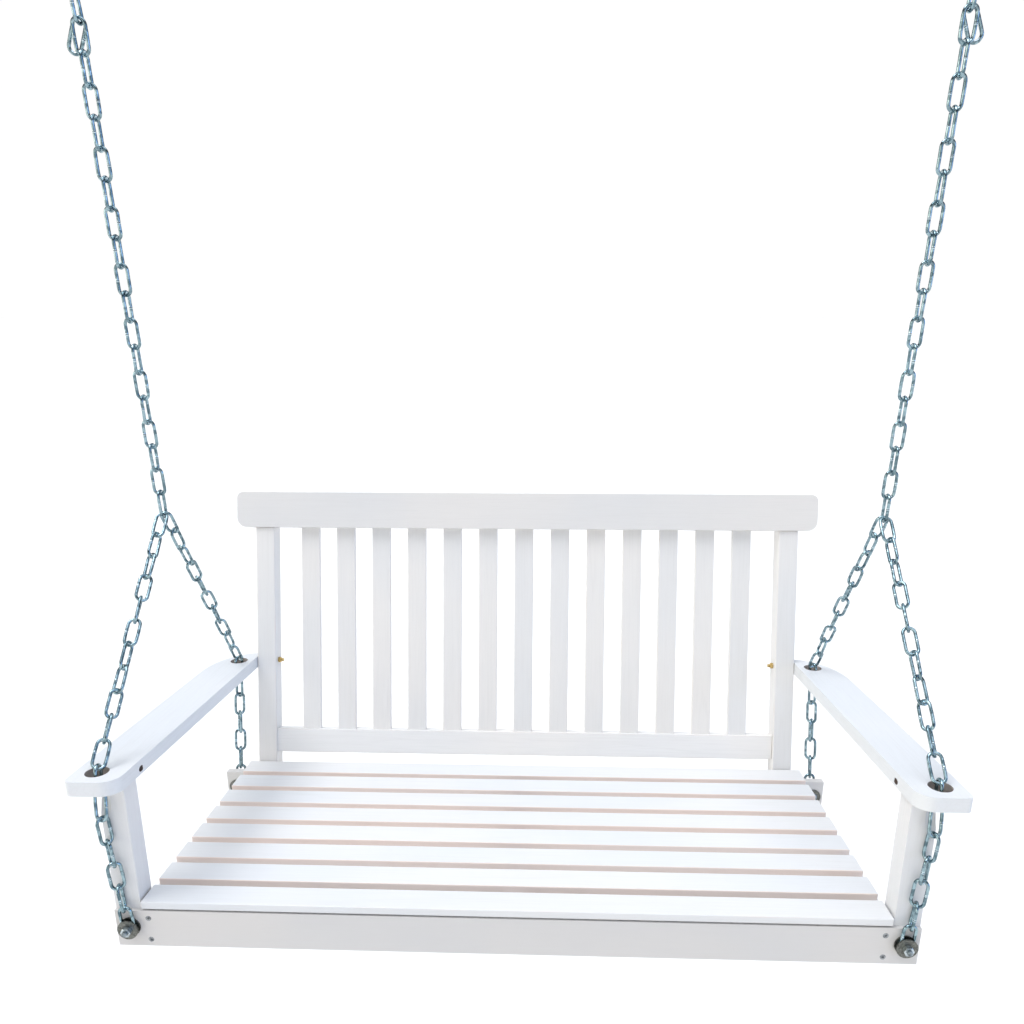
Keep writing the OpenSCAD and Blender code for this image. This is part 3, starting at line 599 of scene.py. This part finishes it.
def link_outline(length, width, wire, weld_side, weld_at, bow):
    """The rings along a link's middle line, as (point, distance from the weld, share of a bend).

    The distance is None off the welded side, and the share is 1 at the middle of a bend.
    """
    bend = (width - wire) / 2
    straight = (length - wire) / 2 - bend
    weld = [weld_at + s * MM for s in WELD_STOPS]
    stops = [s * straight for s in SIDE_STOPS]
    lower = [s for s in stops if s < weld[0]]
    upper = [-s for s in reversed(stops) if -s > weld[-1]]
    welded_side = lower + weld + upper
    plain_side = [straight * k / PLAIN_STEPS for k in range(-PLAIN_STEPS, PLAIN_STEPS + 1)]
    outline = []
    for side in (1, -1):
        heights = welded_side if side == weld_side else plain_side
        for z in heights:
            bulge = bow * (1 - (z / straight) ** 2)
            from_weld = z - weld_at if side == weld_side else None
            outline.append((Vector((side * (bend + bulge), 0, side * z)), from_weld, 0.0))
        for k in range(1, BEND_STEPS):
            a = math.pi * k / BEND_STEPS
            point = Vector((side * bend * math.cos(a), 0, side * (straight + bend * math.sin(a))))
            outline.append((point, None, math.sin(a)))
    return outline


def add_link(bm, place, length, width, wire, chance):
    """One welded link, a little uneven, with its weld's ring and the insides of its bends rubbed, and
    painted bright as a highlight.
    """
    rubbed_and_highlit, seam = (bm.verts.layers.float[flag] for flag in WEAR_AND_HIGHLIGHT_FLAGS)
    weld_side = chance.choice((-1, 1))
    weld_at = chance.uniform(-WELD_STRAY, WELD_STRAY)
    bow = chance.uniform(*BOW_RANGE)
    twist = chance.uniform(-MOST_TWIST, MOST_TWIST)
    outline = link_outline(length, width, wire, weld_side, weld_at, bow)
    centres, radii = [], []
    for point, from_weld, _ in outline:
        turn = Matrix.Rotation(twist * point.z / (length / 2), 3, "Z")
        centres.append(place @ (turn @ point))
        radius = wire / 2 * (1 + WAVINESS * math.sin(point.z * WAVES_ALONG + weld_at * WAVE_SHIFT))
        if from_weld is not None:
            radius += WELD_HEIGHT * hump(from_weld, WELD_HALF_WIDTH)
            radius -= SEAM_DEPTH * hump(from_weld, SEAM_HALF_WIDTH)
        radii.append(radius)
    rings = sweep(bm, centres, radii, LINK_SIDES, closed=True)
    middle = place.translation
    for ring, centre, (point, from_weld, round_bend) in zip(rings, centres, outline):
        inward = (middle - centre).normalized()
        for vert in ring:
            faces_in = max(0.0, (vert.co - centre).normalized().dot(inward))
            vert[rubbed_and_highlit] = faces_in * round_bend ** 3
            if from_weld is not None:
                rim = hump(abs(from_weld) - WELD_HALF_WIDTH, WELD_RIM)
                vert[rubbed_and_highlit] = max(vert[rubbed_and_highlit], WELD_SHINE * rim)
                vert[seam] = hump(from_weld, SEAM_HALF_WIDTH)


def new_metal():
    """An empty bmesh with the two marks that the zinc reads."""
    bm = bmesh.new()
    for flag in WEAR_AND_HIGHLIGHT_FLAGS:
        bm.verts.layers.float.new(flag)
    return bm


def linked(node, name):
    """The links of a chain node, joined in one piece that stands for it."""
    bm = new_metal()
    chance = random.Random(node)
    for place, length, width, wire in link_places(node):
        add_link(bm, place, length, width, wire, chance)
    piece = as_object(bm, name, CHAIN_ZINC, BODY_OF[node])
    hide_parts(node)


CHAIN_NODES = [n for n in NODES if "_chain_" in n or "_link_" in n]
for node in CHAIN_NODES:
    linked(node, "welded_" + node)

# ---- Hooks ----

HOOK_BOWL_RADIUS = 13 * MM
HOOK_WIRE_RADIUS = 3 * MM
HOOK_NECK = 14 * MM
HOOK_MOUTH = math.radians(70)
HOOK_JOIN = math.radians(128)
HOOK_LEAVE = 7 * MM
HOOK_ARRIVE = 5 * MM
NECK_STEPS = 12
BOWL_STEPS = 40
# How far past the wire's end each ring of its tip is, and its radius, as shares of the wire's radius
HOOK_TIP = ((0.45, 0.93), (0.8, 0.70), (1.0, 0.35))
SADDLE_WEAR_AND_HIGHLIGHT = 2.5 * MM
COLLAR_HEIGHT = 3 * MM
COLLAR_RADIUS = 8 * MM
COLLAR_SIDES = 40
# (share of the radius, share of the height below the beam), from the underside up
COLLAR_PROFILE = ((0.55, 1.0), (0.86, 1.0), (0.96, 0.90), (1.0, 0.68),
                  (1.0, 0.32), (0.96, 0.12), (0.86, 0.0), (0.55, 0.0))
SHANK_RADIUS = 4 * MM
SHANK_LENGTH = 50 * MM
SHANK_TIP = 8 * MM
PLAIN_SHANK = 9 * MM
THREAD_PITCH = 3.2 * MM
THREAD_DEPTH = 1.0 * MM
THREAD_STEPS = 200
POINT_RADIUS = 0.3 * MM
HOOK_SIDES = 20


def hook_wire():
    """Middle line of the wire: down from the collar, an easy bend to the side, and round the bowl."""
    centre = Vector((0, 0, -HOOK_NECK - HOOK_BOWL_RADIUS))

    def on_bowl(a):
        return centre + HOOK_BOWL_RADIUS * Vector((math.cos(a), 0, math.sin(a)))

    start, end = Vector((0, 0, -COLLAR_HEIGHT)), on_bowl(HOOK_JOIN)
    leave = start + Vector((0, 0, -HOOK_LEAVE))
    arrive = end - HOOK_ARRIVE * Vector((-math.sin(HOOK_JOIN), 0, math.cos(HOOK_JOIN)))
    points = []
    for k in range(NECK_STEPS):
        t = k / NECK_STEPS
        s = 1 - t
        points.append(s ** 3 * start + 3 * t * s ** 2 * leave + 3 * t ** 2 * s * arrive + t ** 3 * end)
    tip = math.radians(90) + 2 * math.pi - HOOK_MOUTH
    for k in range(BOWL_STEPS + 1):
        points.append(on_bowl(HOOK_JOIN + (tip - HOOK_JOIN) * k / BOWL_STEPS))
    return points


def threaded_shank(bm):
    """Lag thread that runs out into the plain part below it and tapers to the point."""
    rings = []
    total = SHANK_LENGTH + SHANK_TIP
    for i in range(THREAD_STEPS + 1):
        z = total * i / THREAD_STEPS
        taper = min(1.0, (total - z) / SHANK_TIP)
        grown = min(1.0, max(0.0, (z - PLAIN_SHANK) / (2 * THREAD_PITCH)))
        radii = []
        for k in range(HOOK_SIDES):
            phase = (z / THREAD_PITCH - k / HOOK_SIDES) % 1.0
            groove = THREAD_DEPTH * grown * min(1.0, 2.2 * abs(phase - 0.5) ** 0.8)
            radii.append(max(POINT_RADIUS, (SHANK_RADIUS - groove) * taper))
        rings.append(level_ring(bm, radii, z))
    join_rings(bm, rings)


def collar(bm):
    """Pressed collar with rounded rims, against the beam."""
    join_rings(bm, [level_ring(bm, [COLLAR_RADIUS * share] * COLLAR_SIDES, -COLLAR_HEIGHT * depth)
                    for share, depth in COLLAR_PROFILE])


def screw_hook(node):
    """Hook, collar and shank in one piece, bright where the first link hangs: rubbed there, with a painted
    highlight.
    """
    bm = new_metal()
    rubbed_and_highlit = bm.verts.layers.float["rubbed_and_highlit"]
    wire = hook_wire()
    last = wire[-1]
    way = (wire[-1] - wire[-2]).normalized()
    radii = [HOOK_WIRE_RADIUS] * len(wire)
    for reach, share in HOOK_TIP:
        wire.append(last + way * HOOK_WIRE_RADIUS * reach)
        radii.append(HOOK_WIRE_RADIUS * share)
    saddle = -HOOK_NECK - 2 * HOOK_BOWL_RADIUS + HOOK_WIRE_RADIUS
    for ring in sweep(bm, wire, radii, HOOK_SIDES):
        for vert in ring:
            vert[rubbed_and_highlit] = max(0.0, 1 - abs(vert.co.z - saddle) / SADDLE_WEAR_AND_HIGHLIGHT)
    threaded_shank(bm)
    collar(bm)
    corner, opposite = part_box(node)
    bmesh.ops.translate(bm, verts=bm.verts, vec=Vector(((corner.x + opposite.x) / 2, 0, 0)))
    bmesh.ops.recalc_face_normals(bm, faces=bm.faces)
    piece = as_object(bm, "threaded_" + node, CHAIN_ZINC, BODY_OF[node])
    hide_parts(node)


for node in ("hook_left", "hook_right"):
    screw_hook(node)

# ---- Fasteners that keep their CAD shape ----

FASTENERS = {
    BOLT_ZINC: ["chain_bolts", "stile_bolts"],
    NUT_ZINC: ["chain_nuts", "stile_nuts"],
    SCREW_ZINC: ["rail_screws", "slat_screws", "top_rail_screws"],
    POCKET_SHADE_SCREW: ["armrest_screws"],
    BRASS: ["armrest_bolts", "armrest_nuts"],
}
for material, nodes in FASTENERS.items():
    for node in nodes:
        slot = NODES[node].material_slots[0]
        slot.link = "OBJECT"
        slot.material = material

# ---- Floor, light and camera ----

FLOOR_DROP = 1.1
FLOOR_HALF_SIZE = 60.0
FLOOR_COOL = (0.850, 0.835, 0.800, 1)
FLOOR_WARM = (0.870, 0.853, 0.815, 1)
WHITE_WALL = (1.01, 1.01, 1.01, 1)
FRONT_WALL = (0.98, 0.95, 0.905, 1)
LEFT_WALL = (3.00, 2.85, 2.50, 1)
RIGHT_WALL = (1.00, 1.40, 2.30, 1)
FLAG_SHADE = (0.05, 0.07, 0.09, 1)
COVE_SHADE = (0.15, 0.17, 0.20, 1)
CEILING_LIGHT = (1.66, 1.74, 1.92, 1)
# Where one part of the sky gives way to the next, along X, Y or Z of the way to it
LEFT_TO_FRONT = (-0.95, -0.40)
FRONT_TO_RIGHT = (0.35, 0.85)
INTO_FLAGS = (0.08, 0.24)
OUT_OF_FLAGS = (0.62, 0.76)
WALL_TO_COVE = (0.28, 0.40)
COVE_TO_CEILING = (0.64, 0.78)
KEY_FROM = (-0.47, -0.07, 0.88)
KEY_ANGLE = math.radians(26)
KEY_POWER = 1.30
KEY_COLOUR = (1.0, 0.985, 0.965)
CAMERA_PLACE = (0.0474, -1.2089, -0.3952)
CAMERA_TURN = [math.radians(a) for a in (68.301, 0.156, 1.965)]
CAMERA_SHIFT = (-0.0096, 0.0907)
CAMERA_LENS = 27.95
SENSOR_WIDTH = 36.0
NEAREST_SEEN = 0.05


def floor():
    """A pale floor well below the bench, whose warm bounce lights it from under."""
    material, tree, shader = new_material("pale_floor")
    place = add(tree, "TexCoord").outputs["Object"]
    cloud = noise(tree, place, 1.2, 3.0, 0.5)
    grain = noise(tree, place, 60.0, 2.0, 0.5)
    connect(tree, blend(tree, cloud, FLOOR_COOL, FLOOR_WARM), shader.inputs["Base Color"])
    connect(tree, ramp(tree, grain, 0.3, 0.7, 0.75, 0.9), shader.inputs["Roughness"])
    mesh = bpy.data.meshes.new("studio_floor")
    z, s = cad_box[0].z - FLOOR_DROP, FLOOR_HALF_SIZE
    mesh.from_pydata([(-s, -s, z), (s, -s, z), (s, s, z), (-s, s, z)], [], [(0, 1, 2, 3)])
    mesh.materials.append(material)
    made = bpy.data.objects.new("studio_floor", mesh)
    bpy.context.scene.collection.objects.link(made)


def studio_sky():
    """A wall that is warm on the left and cool on the right, a dim cove and a ceiling light.

    Two dark flags behind give the chains their edges. All of it shows as plain white.
    """
    world = bpy.data.worlds.new("studio_sky")
    bpy.context.scene.world = world
    world.use_nodes = True
    tree = world.node_tree
    way = add(tree, "SeparateXYZ", Vector=add(tree, "TexCoord").outputs["Generated"]).outputs
    light = blend(tree, ramp(tree, way["X"], *LEFT_TO_FRONT), LEFT_WALL, FRONT_WALL)
    light = blend(tree, ramp(tree, way["X"], *FRONT_TO_RIGHT), light, RIGHT_WALL)
    flags = maths(tree, "MULTIPLY", ramp(tree, way["Y"], *INTO_FLAGS),
                  ramp(tree, way["Y"], *OUT_OF_FLAGS, 1.0, 0.0))
    light = blend(tree, flags, light, FLAG_SHADE)
    light = blend(tree, ramp(tree, way["Z"], *WALL_TO_COVE), light, COVE_SHADE)
    light = blend(tree, ramp(tree, way["Z"], *COVE_TO_CEILING), light, CEILING_LIGHT)
    seen = add(tree, "LightPath").outputs["Is Camera Ray"]
    connect(tree, blend(tree, seen, light, WHITE_WALL), tree.nodes["Background"].inputs["Color"])


def key_light():
    """One broad source from the upper left, a little in front."""
    lamp = bpy.data.lights.new("key_light", "SUN")
    lamp.angle = KEY_ANGLE
    lamp.energy = KEY_POWER
    lamp.color = KEY_COLOUR
    made = bpy.data.objects.new("key_light", lamp)
    made.rotation_euler = Vector(KEY_FROM).to_track_quat("Z", "Y").to_euler()
    bpy.context.scene.collection.objects.link(made)


def camera():
    """The photograph's view of the bench, from in front and above."""
    data = bpy.data.cameras.new("camera")
    data.lens = CAMERA_LENS
    data.sensor_width = SENSOR_WIDTH
    data.shift_x, data.shift_y = CAMERA_SHIFT
    data.clip_start = NEAREST_SEEN
    made = bpy.data.objects.new("camera", data)
    made.location = CAMERA_PLACE
    made.rotation_euler = CAMERA_TURN
    bpy.context.scene.collection.objects.link(made)
    bpy.context.scene.camera = made


floor()
studio_sky()
key_light()
camera()
bpy.context.scene.view_settings.view_transform = "Standard"
